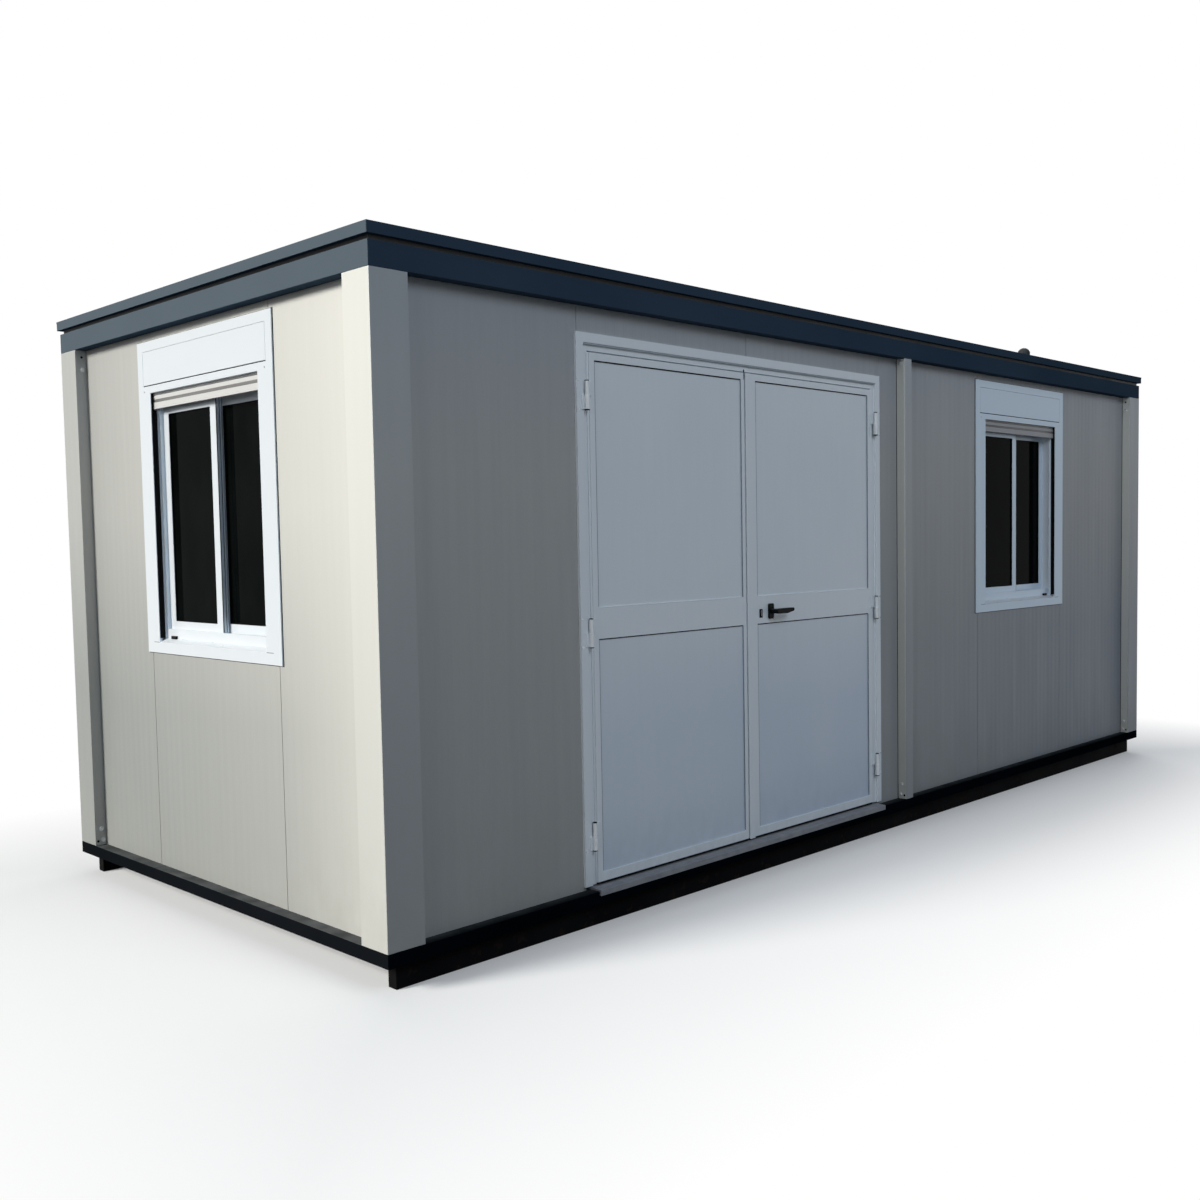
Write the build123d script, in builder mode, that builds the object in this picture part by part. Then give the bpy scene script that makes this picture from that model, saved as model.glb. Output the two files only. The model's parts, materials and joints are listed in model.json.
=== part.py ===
"""Portable site cabin: steel frame, sandwich wall panels, double door and two shuttered windows.

Millimetres.  X runs along the cabin, the door side faces -Y and Z is up.  The origin is on the
ground under the middle of the floor.  Each wall has its own plane: its local x runs to the right
as seen from outside, its local y is the height above the skids and its normal points outwards,
so an offset is how far a face stands proud of the wall panels.  Heights of doors and windows are
measured from the underside of the base beams.
"""
import os

from build123d import *

# ---- the cabin's frame -------------------------------------------------------------------------
length = 6000  # over the corner posts
width = 2380  # over the corner posts
wall_recess = 50  # the panels stand this far inside the posts' faces
panel_thickness = 40
panel_cover = 1000  # one wall panel
panel_joint = 2
slimmest_panel = 50  # a narrower rest is left on the last panel
first_panel = 889  # the cut panel left of the door

skid_height = 90
skid_width = 45
skid_end_inset = 57
skid_side_inset = 40
beam_height = 50
post_height = 2192
top_beam_height = 84
roof_groove = 16
roof_edge_height = 38
roof_overhang = 10
rim_bend = 4
groove_depth = 12
frame_lap = 5  # the base and top beams reach this far inside the panels

joist_width = 40
joist_count = 10
deck_thickness = 22
ceiling_thickness = 18
roof_panel_thickness = 46
roof_rim = 80

# ---- posts -------------------------------------------------------------------------------------
sheet = 3
post_flange = 150
post_bend = 5
mid_post_width = 67
mid_post_bend = 8
mid_post_from_door = 220  # from the panel joint right of the door

# ---- roof vent ---------------------------------------------------------------------------------
vent_x = 1980
vent_inset = 300  # from the door side
vent_radius = 37
vent_pipe_radius = 28
vent_dome = 27
vent_skirt = 26
vent_rise = 128  # above the roof's rim

# ---- double door -------------------------------------------------------------------------------
door_lap = 15  # the frame laps over the panels beside it
door_frame_top = 2144  # above the base beams' underside
door_frame_bottom = 65
door_flange = 37
door_rebate = 28
door_flange_proud = 14
door_rebate_proud = 4
door_stop_width = 25
door_stop_thickness = 3

leaf_gap = 5
leaf_proud = 8
leaf_depth = 40
leaf_bottom = 70
leaf_tube = 28
leaf_bottom_rail = 35
mid_rail_bottom = 1000
mid_rail_height = 117
infill_setback = 5
meeting_gap = 6.5
meeting_offset = 22.25  # the gap's middle, left of the door's middle
left_meeting_stile = 20
right_meeting_stile = 71
strip_width = 35
strip_thickness = 4

hinge_proud = 20
hinge_clear = 9  # from the flange's inner edge to the hinge's axis
knuckle_radius = 10.5
leaf_knuckle_radius = 8.5
knuckle_height = 52
pin_radius = 5
pin_clearance = 0.1
seat_gap = 0.3
knuckle_cap = 6
hinge_plate = 4
frame_wing = 12  # the hinge plates reach this far beyond their knuckles
leaf_wing = 26
hinge_heights = (254, 1026, 1912)

threshold_inset = 20
threshold_proud = 9
threshold_top = 59
threshold_lip = 25
threshold_slope = 3

lever_from_edge = 160
lever_height = 1051
lever_outline = ((0, 0, 11), (64, 0, 12), (106, 4, 8))  # along, up and radius of its round ends
lever_round = 4
lever_thick = 14
lever_reach = 58
lever_neck = 11
spindle_radius = 6
spindle_clearance = 0.5
rose_width = 32
rose_height = 67
rose_thick = 9
rose_corner = 8
lock_from_edge = 94
lock_height = 1044
lock_barrel = 8.5
lock_slot = 10
lock_drop = 33
lock_proud = 4

# ---- windows -----------------------------------------------------------------------------------
window_panel = 4  # counted along the door side from the left, from 0
window_lap = 27.5  # the cover laps over the panels beside the window's own
window_bottom = 943
window_top = 2209
window_proud = 8
daylight_margin = 105  # from the cover's edge to its clear opening
sill_height = 987
head_height = 2000
hole_margin = 45  # the cover laps this far over the panel
sill_rise = 16
frame_setback = 24
frame_depth = 70
frame_show = 10
frame_sill = 1028
frame_head = 1960
upstand = 13
upstand_thick = 12
sash_setback = 38
sash_thick = 24
sash_stile = 45
track_gap = 4
glass_setback = 8
glass_thick = 10
guide_width = 22
guide_lip = 3
guide_slot = 15
slat_drops = (64, 38, 26, 10, 7, 0.3)  # below the head, from the end bar's foot up
slat_thicks = (11, 5, 8, 5, 8)  # between those heights
slat_end_play = 2
shutter_box_depth = 190
plate_margin = 46.5
plate_bottom = 2033
plate_top = 2168
plate_thick = 5
plate_groove = 4
plate_joint = 1

# ---- worked out --------------------------------------------------------------------------------
floor_level = skid_height + beam_height
eaves = floor_level + post_height
roof_seat = eaves + top_beam_height
roof_edge = roof_seat + roof_groove
roof_top = roof_edge + roof_edge_height
wall_x = length / 2 - wall_recess
wall_y = width / 2 - wall_recess
beam_width = wall_recess + panel_thickness + frame_lap

front = Plane(origin=(0, -wall_y, skid_height), x_dir=(1, 0, 0), z_dir=(0, -1, 0))
rear = Plane(origin=(0, wall_y, skid_height), x_dir=(-1, 0, 0), z_dir=(0, 1, 0))
left = Plane(origin=(-wall_x, 0, skid_height), x_dir=(0, -1, 0), z_dir=(-1, 0, 0))
right = Plane(origin=(wall_x, 0, skid_height), x_dir=(0, 1, 0), z_dir=(1, 0, 0))

panel_foot = beam_height
panel_head = beam_height + post_height
end_half = wall_y - panel_thickness

door_left = first_panel - wall_x
door_right = door_left + 2 * panel_cover
mid_post_centre = door_right + mid_post_from_door


def save(part, label):
    """Name a finished piece and write it as its own STEP file."""
    part.label = label
    export_step(part, f"parts/{label}.step")


def box_outline(low_x, high_x, low_y, high_y):
    """A rectangle from its two edges each way."""
    with BuildSketch(Plane.XY) as outline:
        with Locations(((low_x + high_x) / 2, (low_y + high_y) / 2)):
            Rectangle(high_x - low_x, high_y - low_y)
    return outline.sketch


def mitred(half_run, outer, inner):
    """A beam along x with its mirror image: mitred ends, outer and inner edge from the middle."""
    short = half_run - outer + inner
    with BuildSketch(Plane.XY) as outline:
        with BuildLine():
            Polyline((-half_run, -outer), (half_run, -outer), (short, -inner), (-short, -inner), close=True)
        make_face()
        mirror(about=Plane.XZ)
    return outline.sketch


def portal(half_width, top, bottom, band):
    """Three sides of a frame, open at the bottom, band wide."""
    with BuildSketch(Plane.XY) as outline:
        add(box_outline(-half_width, half_width, bottom, top))
        add(box_outline(band - half_width, half_width - band, bottom, top - band), mode=Mode.SUBTRACT)
    return outline.sketch


def panel_outlines(edges, wanted, low, high):
    """Outlines of the wanted panels of one wall, parted by the joints at the inner edges."""
    last = len(edges) - 2
    with BuildSketch(Plane.XY) as outlines:
        for number in wanted:
            start = edges[number] + (0 if number == 0 else panel_joint / 2)
            end = edges[number + 1] - (0 if number == last else panel_joint / 2)
            add(box_outline(start, end, low, high))
    return outlines.sketch


def moved(wall, along, proud=0):
    """The wall's plane, moved along the wall and outwards."""
    return Plane(origin=wall.origin + wall.x_dir * along + wall.z_dir * proud,
                 x_dir=wall.x_dir, z_dir=wall.z_dir)


def across(wall, along):
    """A plane that cuts the wall upright: local x points outwards, local y up."""
    return Plane(origin=wall.origin + wall.x_dir * along, x_dir=wall.z_dir, z_dir=-wall.x_dir)


def level(wall, along, height):
    """A level plane at a wall: local x runs along the wall and local y points into the cabin."""
    return Plane(origin=wall.origin + wall.x_dir * along + Vector(0, 0, height), x_dir=wall.x_dir)


os.makedirs("parts", exist_ok=True)

# ---- skids, base and top beams, joists and floor ----------------------------------------------
skid_half = length / 2 - skid_end_inset
skid_outer = width / 2 - skid_side_inset
skid_inner = skid_outer - skid_width

with BuildPart() as skids:
    with BuildSketch(Plane.XY):
        add(box_outline(-skid_half, skid_half, -skid_outer, -skid_inner))
        add(box_outline(-skid_half, skid_half, skid_inner, skid_outer))
    extrude(amount=skid_height)
save(skids.part, "skids")

beam_gap = width / 2 - beam_width
along_x = mitred(length / 2, width / 2, beam_gap)
along_y = mitred(width / 2, length / 2, length / 2 - beam_width)
for beams_name, foot, height in (
    ("base", skid_height, beam_height),
    ("top", eaves, top_beam_height),
):
    with BuildPart() as long_beams:
        with BuildSketch(Plane.XY.offset(foot)):
            add(along_x)
        extrude(amount=height)
    save(long_beams.part, f"long_{beams_name}_beams")

    with BuildPart() as end_beams:
        with BuildSketch(Plane(origin=(0, 0, foot), x_dir=(0, 1, 0), z_dir=(0, 0, 1))):
            add(along_y)
        extrude(amount=height)
    save(end_beams.part, f"end_{beams_name}_beams")

joist_top = floor_level - deck_thickness
joist_height = beam_height - deck_thickness
joist_run = length - 2 * beam_width - joist_width
with BuildPart() as floor_joists:
    with BuildSketch(Plane.XY.offset(joist_top - joist_height)):
        with GridLocations(joist_run / (joist_count - 1), 1, joist_count, 1):
            Rectangle(joist_width, 2 * beam_gap)
    extrude(amount=joist_height)
save(floor_joists.part, "floor_joists")

with BuildPart() as floor_deck:
    with BuildSketch(Plane.XY.offset(joist_top)):
        Rectangle(length - 2 * beam_width, 2 * beam_gap)
    extrude(amount=deck_thickness)
save(floor_deck.part, "floor_deck")

# ---- posts -------------------------------------------------------------------------------------
for post_name, side_x, side_y in (
    ("front_left", -1, -1),
    ("front_right", 1, -1),
    ("rear_left", -1, 1),
    ("rear_right", 1, 1),
):
    corner = Plane(
        origin=(side_x * length / 2, side_y * width / 2, floor_level),
        x_dir=(-side_x, 0, 0) if side_x == side_y else (0, -side_y, 0),
    )
    with BuildPart() as corner_post:
        with BuildSketch(corner):
            add(box_outline(0, post_flange, 0, sheet))
            add(box_outline(0, sheet, 0, post_flange))
            add(box_outline(post_flange - sheet, post_flange, 0, wall_recess))
            add(box_outline(0, wall_recess, post_flange - sheet, post_flange))
        extrude(amount=post_height)
        fillet(corner_post.edges().filter_by(Axis.Z).sort_by_distance(corner.origin)[0], post_bend / 2)
    save(corner_post.part, f"corner_post_{post_name}")

mid_post_left = mid_post_centre - mid_post_width / 2
mid_post_right = mid_post_centre + mid_post_width / 2
with BuildPart() as mid_posts:
    with BuildSketch(Plane.XY.offset(floor_level)):
        add(box_outline(mid_post_left, mid_post_right, -width / 2, -wall_y))
        add(
            box_outline(mid_post_left + sheet, mid_post_right - sheet, sheet - width / 2, -wall_y),
            mode=Mode.SUBTRACT,
        )
        mirror(about=Plane.XZ)
    extrude(amount=post_height)
    for group in (0, -1):
        fillet(mid_posts.edges().filter_by(Axis.Z).group_by(Axis.Y)[group], mid_post_bend)
save(mid_posts.part, "mid_posts")

# ---- ceiling and roof --------------------------------------------------------------------------
with BuildPart() as ceiling:
    with BuildSketch(Plane.XY.offset(eaves)):
        Rectangle(length - 2 * beam_width, 2 * beam_gap)
    extrude(amount=ceiling_thickness)
save(ceiling.part, "ceiling")

with BuildPart() as roof_panel:
    with BuildSketch(Plane.XY.offset(roof_seat)):
        Rectangle(length - 2 * groove_depth, width - 2 * groove_depth)
    extrude(amount=roof_panel_thickness)
save(roof_panel.part, "roof_panel")

with BuildPart() as roof_rim_trim:
    with BuildSketch(Plane.XY.offset(roof_edge)):
        Rectangle(length + 2 * roof_overhang, width + 2 * roof_overhang)
        Rectangle(length - 2 * groove_depth, width - 2 * groove_depth, mode=Mode.SUBTRACT)
    extrude(amount=roof_edge_height)
    fillet(roof_rim_trim.edges().filter_by(Axis.Z).group_by(Axis.X)[0], rim_bend)
    fillet(roof_rim_trim.edges().filter_by(Axis.Z).group_by(Axis.X)[-1], rim_bend)
    with BuildSketch(Plane.XY.offset(roof_seat + roof_panel_thickness)):
        Rectangle(length + 2 * roof_overhang, width + 2 * roof_overhang)
        Rectangle(length - 2 * roof_rim, width - 2 * roof_rim, mode=Mode.SUBTRACT)
    extrude(amount=roof_top - roof_seat - roof_panel_thickness)
save(roof_rim_trim.part, "roof_rim_trim")

vent_base = roof_seat + roof_panel_thickness
vent_top = roof_top + vent_rise
vent_y = vent_inset - width / 2
dome_radius = (vent_radius**2 + vent_dome**2) / (2 * vent_dome)
with BuildPart() as roof_vent:
    with BuildSketch(Plane(origin=(vent_x, vent_y, 0), x_dir=(1, 0, 0), z_dir=(0, -1, 0))):
        with BuildLine():
            Polyline(
                (0, vent_base),
                (vent_pipe_radius, vent_base),
                (vent_pipe_radius, vent_top - vent_dome - vent_skirt),
                (vent_radius, vent_top - vent_dome - vent_skirt),
                (vent_radius, vent_top - vent_dome),
            )
            RadiusArc((vent_radius, vent_top - vent_dome), (0, vent_top), -dome_radius)
            Line((0, vent_top), (0, vent_base))
        make_face()
    revolve(axis=Axis((vent_x, vent_y, 0), (0, 0, 1)))
save(roof_vent.part, "roof_vent")

# ---- wall panels -------------------------------------------------------------------------------
long_edges = [-wall_x]
next_edge = door_left
while next_edge < wall_x - slimmest_panel:
    long_edges.append(next_edge)
    next_edge += panel_cover
long_edges.append(wall_x)
long_panels = range(len(long_edges) - 1)
end_edges = (-end_half, -panel_cover / 2, panel_cover / 2, end_half)
door_head = door_frame_top - door_lap
cover_half = panel_cover / 2 + window_lap
hole_half = cover_half - hole_margin
hole_low = window_bottom + hole_margin
hole_high = window_top - hole_margin

with BuildPart() as front_wall_panels:
    with BuildSketch(front):
        plain = [number for number in long_panels if number not in (1, 2, window_panel)]
        add(panel_outlines(long_edges, plain, panel_foot, panel_head))
        add(panel_outlines(long_edges, (1, 2), door_head, panel_head))
    extrude(amount=-panel_thickness)
save(front_wall_panels.part, "front_wall_panels")

window_centre = (long_edges[window_panel] + long_edges[window_panel + 1]) / 2
with BuildPart() as front_window_panel:
    with BuildSketch(front):
        add(panel_outlines(long_edges, (window_panel,), panel_foot, panel_head))
        add(box_outline(window_centre - hole_half, window_centre + hole_half, hole_low, hole_high),
            mode=Mode.SUBTRACT)
    extrude(amount=-panel_thickness)
save(front_window_panel.part, "front_window_panel")

with BuildPart() as left_wall_panels:
    with BuildSketch(left):
        add(panel_outlines(end_edges, (0, 2), panel_foot, panel_head))
    extrude(amount=-panel_thickness)
save(left_wall_panels.part, "left_wall_panels")

with BuildPart() as left_window_panel:
    with BuildSketch(left):
        add(panel_outlines(end_edges, (1,), panel_foot, panel_head))
        add(box_outline(-hole_half, hole_half, hole_low, hole_high), mode=Mode.SUBTRACT)
    extrude(amount=-panel_thickness)
save(left_window_panel.part, "left_window_panel")

with BuildPart() as right_wall_panels:
    with BuildSketch(right):
        add(panel_outlines(end_edges, range(3), panel_foot, panel_head))
    extrude(amount=-panel_thickness)
save(right_wall_panels.part, "right_wall_panels")

rear_edges = [-edge for edge in reversed(long_edges)]
with BuildPart() as rear_wall_panels:
    with BuildSketch(rear):
        add(panel_outlines(rear_edges, long_panels, panel_foot, panel_head))
    extrude(amount=-panel_thickness)
save(rear_wall_panels.part, "rear_wall_panels")

# ---- door frame and threshold ------------------------------------------------------------------
door_centre = (door_left + door_right) / 2
door_half = (door_right - door_left) / 2
flange_half = door_half + door_lap
flange_inner = flange_half - door_flange
jamb_inner = flange_inner - door_rebate
body_band = door_half - jamb_inner
stop_inset = leaf_depth - leaf_proud + leaf_gap

with BuildPart() as door_frame:
    with BuildSketch(moved(front, door_centre, door_rebate_proud)):
        add(portal(door_half, door_head, door_frame_bottom, body_band))
    extrude(amount=-door_rebate_proud - stop_inset - door_stop_thickness)
    with BuildSketch(moved(front, door_centre, door_flange_proud)):
        add(portal(flange_half, door_frame_top, door_frame_bottom, door_flange))
    extrude(amount=-door_flange_proud)
    with BuildSketch(moved(front, door_centre, -stop_inset)):
        add(portal(door_half, door_head, door_frame_bottom, body_band + door_stop_width))
    extrude(amount=-door_stop_thickness)
save(door_frame.part, "door_frame")

lip_out = wall_recess + threshold_proud
threshold_half = door_half - threshold_inset
with BuildPart() as door_threshold:
    with BuildSketch(across(front, door_centre - threshold_half)):
        with BuildLine():
            Polyline(
                (-panel_thickness, beam_height),
                (wall_recess, beam_height),
                (wall_recess, threshold_top - threshold_lip),
                (lip_out, threshold_top - threshold_lip),
                (lip_out, threshold_top - threshold_slope),
                (leaf_proud, threshold_top),
                (-panel_thickness, threshold_top),
                close=True,
            )
        make_face()
    extrude(amount=-2 * threshold_half)
save(door_threshold.part, "door_threshold")

# ---- door leaves -------------------------------------------------------------------------------
leaf_edge = jamb_inner - leaf_gap
leaf_top = door_head - body_band - leaf_gap
hinge_half = flange_inner - hinge_clear
left_free = -meeting_offset - meeting_gap / 2
right_free = -meeting_offset + meeting_gap / 2
infill_levels = (
    (leaf_bottom + leaf_bottom_rail, mid_rail_bottom),
    (mid_rail_bottom + mid_rail_height, leaf_top - leaf_tube),
)
leaf_back = leaf_depth - leaf_proud
lever_at = (right_free + lever_from_edge, lever_height)
lock_at = (right_free + lock_from_edge, lock_height)

with BuildPart() as door_hinge_pins:
    for side in (-1, 1):
        for split in hinge_heights:
            with BuildSketch(level(front, door_centre, split - knuckle_height)):
                with Locations((side * hinge_half, -hinge_proud)):
                    Circle(knuckle_radius)
                wing_end = hinge_half + knuckle_radius + frame_wing
                add(box_outline(*sorted((side * hinge_half, side * wing_end)),
                                -door_flange_proud - hinge_plate, -door_flange_proud))
            extrude(amount=knuckle_height)
            with BuildSketch(level(front, door_centre, split)):
                with Locations((side * hinge_half, -hinge_proud)):
                    Circle(pin_radius)
            extrude(amount=knuckle_height - knuckle_cap)
save(door_hinge_pins.part, "door_hinge_pins")

for leaf_name, side, low, high, low_stile, high_stile in (
    ("left", -1, -leaf_edge, left_free, leaf_tube, left_meeting_stile),
    ("right", 1, right_free, leaf_edge, right_meeting_stile, leaf_tube),
):
    with BuildSketch(Plane.XY) as infills:
        for bottom, top in infill_levels:
            add(box_outline(low + low_stile, high - high_stile, bottom, top))

    with BuildPart() as leaf_frame:
        with BuildSketch(moved(front, door_centre, leaf_proud)):
            add(box_outline(low, high, leaf_bottom, leaf_top))
            add(infills.sketch, mode=Mode.SUBTRACT)
            if leaf_name == "right":
                with Locations(lever_at):
                    Circle(spindle_radius + spindle_clearance, mode=Mode.SUBTRACT)
        extrude(amount=-leaf_depth)
        for split in hinge_heights:
            with BuildSketch(level(front, door_centre, split + seat_gap)):
                with Locations((side * hinge_half, -hinge_proud)):
                    Circle(leaf_knuckle_radius)
                wing_end = hinge_half - leaf_knuckle_radius - leaf_wing
                add(box_outline(*sorted((side * hinge_half, side * wing_end)),
                                -leaf_proud - hinge_plate, -leaf_proud))
            extrude(amount=knuckle_height - seat_gap)
            with BuildSketch(level(front, door_centre, split + seat_gap)):
                with Locations((side * hinge_half, -hinge_proud)):
                    Circle(pin_radius + pin_clearance)
            extrude(amount=knuckle_height - knuckle_cap, mode=Mode.SUBTRACT)
    save(leaf_frame.part, f"{leaf_name}_leaf_frame")

    with BuildPart() as leaf_infill:
        with BuildSketch(moved(front, door_centre, leaf_proud - infill_setback)):
            add(infills.sketch)
        extrude(amount=2 * infill_setback - leaf_depth)
    save(leaf_infill.part, f"{leaf_name}_leaf_infill")

with BuildPart() as meeting_strip:
    with BuildSketch(moved(front, door_centre, leaf_proud)):
        add(box_outline(right_free, right_free + strip_width, leaf_bottom - strip_thickness, leaf_top))
    extrude(amount=strip_thickness)
save(meeting_strip.part, "meeting_strip")

# ---- lever and lock ----------------------------------------------------------------------------
with BuildPart() as lever_roses:
    for face, outwards in ((leaf_proud, 1), (-leaf_back, -1)):
        with BuildSketch(moved(front, door_centre, face)):
            with Locations(lever_at):
                RectangleRounded(rose_width, rose_height, rose_corner)
                Circle(lever_neck + pin_clearance, mode=Mode.SUBTRACT)
        extrude(amount=outwards * rose_thick)
save(lever_roses.part, "lever_roses")

with BuildPart() as door_lever:
    with BuildSketch(moved(front, door_centre, lever_reach - lever_thick)):
        with Locations(lever_at):
            Circle(spindle_radius)
    extrude(amount=-2 * (lever_reach - lever_thick) - leaf_depth + 2 * leaf_proud)
    for grip_face, neck_face, outwards in (
        (lever_reach, leaf_proud + seat_gap, 1),
        (2 * leaf_proud - leaf_depth - lever_reach, -leaf_back - seat_gap, -1),
    ):
        with BuildSketch(moved(front, door_centre, grip_face - outwards * lever_thick)):
            for along, rise, radius in lever_outline:
                with Locations((lever_at[0] + along, lever_height + rise)):
                    Circle(radius)
            make_hull()
        extrude(amount=outwards * lever_thick)
        with BuildSketch(moved(front, door_centre, neck_face)):
            with Locations(lever_at):
                Circle(lever_neck)
        extrude(amount=grip_face - outwards * lever_thick - neck_face)
    fillet(door_lever.faces().sort_by(Axis.Y)[0].edges(), lever_round)
    fillet(door_lever.faces().sort_by(Axis.Y)[-1].edges(), lever_round)
save(door_lever.part, "door_lever")

with BuildPart() as lock_cylinder:
    for face, outwards in ((leaf_proud, 1), (-leaf_back, -1)):
        with BuildSketch(moved(front, door_centre, face)):
            with Locations((lock_at[0], lock_height + lock_drop / 2 - lock_barrel)):
                Circle(lock_barrel)
            with Locations(lock_at):
                SlotOverall(lock_drop, lock_slot, rotation=90)
        extrude(amount=outwards * lock_proud)
save(lock_cylinder.part, "lock_cylinder")

# ---- windows -----------------------------------------------------------------------------------
daylight_half = cover_half - daylight_margin
plate_half = cover_half - plate_margin
frame_inner = daylight_half - frame_show
pane_half = (frame_inner - sash_stile / 2 - sash_stile) / 2
sash_middle = pane_half + sash_stile / 2
plate_face = window_proud - plate_thick
pane_low = frame_sill + sash_stile
pane_high = frame_head - sash_stile

windows = (("front", front, window_centre), ("end", left, 0))

with BuildPart() as shutter_plates:
    for _, wall, centre in windows:
        with BuildSketch(moved(wall, centre, plate_face)):
            add(box_outline(-plate_half, plate_half, plate_bottom, plate_top))
        extrude(amount=plate_thick)
save(shutter_plates.part, "shutter_plates")

with BuildPart() as shutter_boxes:
    for _, wall, centre in windows:
        with BuildSketch(moved(wall, centre)):
            add(box_outline(-hole_half, hole_half, head_height, hole_high))
        extrude(amount=-shutter_box_depth)
save(shutter_boxes.part, "shutter_boxes")

for window_name, wall, centre in windows:
    with BuildPart() as window_cover:
        with BuildSketch(moved(wall, centre)):
            add(box_outline(-cover_half, cover_half, window_bottom, window_top))
            add(box_outline(-daylight_half, daylight_half, sill_height, head_height),
                mode=Mode.SUBTRACT)
        extrude(amount=window_proud)
        with BuildSketch(moved(wall, centre, window_proud)):
            add(box_outline(-plate_half - plate_joint, plate_half + plate_joint,
                            plate_bottom - plate_groove, plate_top + plate_joint))
        extrude(amount=-plate_thick, mode=Mode.SUBTRACT)
        with BuildSketch(across(wall, centre - daylight_half)):
            with BuildLine():
                Polyline(
                    (window_proud, window_bottom),
                    (window_proud, sill_height),
                    (-frame_setback, sill_height + sill_rise),
                    (-frame_setback, hole_low),
                    (0, hole_low),
                    (0, window_bottom),
                    close=True,
                )
            make_face()
        extrude(amount=-2 * daylight_half)
    save(window_cover.part, f"{window_name}_window_cover")

    with BuildPart() as window_frame:
        with BuildSketch(moved(wall, centre, -frame_setback)):
            add(box_outline(-hole_half, hole_half, hole_low, head_height))
            add(box_outline(-frame_inner, frame_inner, frame_sill, frame_head), mode=Mode.SUBTRACT)
        extrude(amount=-frame_depth)
        with BuildSketch(moved(wall, centre, -frame_setback)):
            add(box_outline(-frame_inner, frame_inner, frame_sill, frame_sill + upstand))
        extrude(amount=-upstand_thick)
        with BuildSketch(level(wall, centre, hole_low)):
            for side in (-1, 1):
                guide = sorted((side * daylight_half, side * (daylight_half + guide_width)))
                slot = sorted((side * daylight_half, side * (daylight_half + guide_width - guide_lip)))
                add(box_outline(*guide, 0, frame_setback))
                add(box_outline(*slot, guide_lip, guide_lip + guide_slot), mode=Mode.SUBTRACT)
        extrude(amount=head_height - hole_low)
    save(window_frame.part, f"{window_name}_window_frame")

    curtain_half = daylight_half + guide_width - guide_lip - slat_end_play
    curtain_middle = guide_lip + guide_slot / 2
    with BuildPart() as shutter_slats:
        for drop, next_drop, thick in zip(slat_drops, slat_drops[1:], slat_thicks):
            with BuildSketch(moved(wall, centre, thick / 2 - curtain_middle)):
                add(box_outline(-curtain_half, curtain_half, head_height - drop, head_height - next_drop))
            extrude(amount=-thick)
    save(shutter_slats.part, f"{window_name}_shutter_slats")

    with BuildPart() as window_sashes:
        for side, setback in ((-1, sash_setback), (1, sash_setback + sash_thick + track_gap)):
            with BuildSketch(moved(wall, centre + side * sash_middle, -setback)):
                add(box_outline(-pane_half - sash_stile, pane_half + sash_stile, frame_sill, frame_head))
                add(box_outline(-pane_half, pane_half, pane_low, pane_high), mode=Mode.SUBTRACT)
            extrude(amount=-sash_thick)
    save(window_sashes.part, f"{window_name}_window_sashes")

    with BuildPart() as window_glass:
        for side, setback in ((-1, sash_setback), (1, sash_setback + sash_thick + track_gap)):
            with BuildSketch(moved(wall, centre + side * sash_middle, -setback - glass_setback)):
                add(box_outline(-pane_half, pane_half, pane_low, pane_high))
            extrude(amount=-glass_thick)
    save(window_glass.part, f"{window_name}_window_glass")
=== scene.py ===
# %% [markdown]
# # A portable site cabin
# The steel frame, the wall panels, the double door and the two shuttered windows come packed from
# the CAD model, in metres and in their real places. This lesson gives them their finishes and adds
# what a drawing leaves out: the ribs of the wall sheets, bolts, seals, screws and the roof's sheets.

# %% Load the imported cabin
import json
import math

import bmesh
import bpy
from mathutils import Matrix, Vector


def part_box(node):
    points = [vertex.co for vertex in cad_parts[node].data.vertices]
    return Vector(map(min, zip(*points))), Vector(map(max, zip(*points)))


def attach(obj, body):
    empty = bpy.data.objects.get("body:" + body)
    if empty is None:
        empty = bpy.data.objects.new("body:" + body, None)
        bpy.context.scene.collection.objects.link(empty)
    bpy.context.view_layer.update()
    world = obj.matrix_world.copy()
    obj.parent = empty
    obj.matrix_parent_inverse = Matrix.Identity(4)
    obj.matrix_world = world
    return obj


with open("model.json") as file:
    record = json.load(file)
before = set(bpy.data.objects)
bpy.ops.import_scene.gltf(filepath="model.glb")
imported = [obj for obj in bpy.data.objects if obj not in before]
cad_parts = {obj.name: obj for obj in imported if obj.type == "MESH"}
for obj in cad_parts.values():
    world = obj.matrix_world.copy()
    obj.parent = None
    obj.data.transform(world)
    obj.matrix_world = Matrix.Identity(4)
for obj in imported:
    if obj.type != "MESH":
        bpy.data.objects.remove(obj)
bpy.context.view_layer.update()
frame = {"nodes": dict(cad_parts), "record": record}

# %% [markdown]
# ## A map for each wall
# Typing world coordinates for four walls invites mistakes, so each wall gets a flat map: along runs
# to the right as seen from outside, up is the height above the ground, and out is how far a thing
# stands proud of the panels. A piece described once then fits any wall.


# %% Wall maps
class Wall:
    """One wall as a flat map, with the directions it uses in the world."""

    def __init__(self, right, outwards, face):
        self.right, self.outwards, self.face = Vector(right), Vector(outwards), face

    def point(self, along, up, out=0.0):
        return self.right * along + self.outwards * (self.face + out) + Vector((0, 0, up))

    def facing(self, along, up, out, towards="out"):
        """A matrix that moves a thing made upright at the origin so that its top points that way."""
        top = {"out": self.outwards, "right": self.right, "left": -self.right}[towards]
        side = Vector((0, 0, 1)).cross(top)
        turn = Matrix((side, Vector((0, 0, 1)), top)).transposed()
        return Matrix.Translation(self.point(along, up, out)) @ turn.to_4x4()


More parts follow.
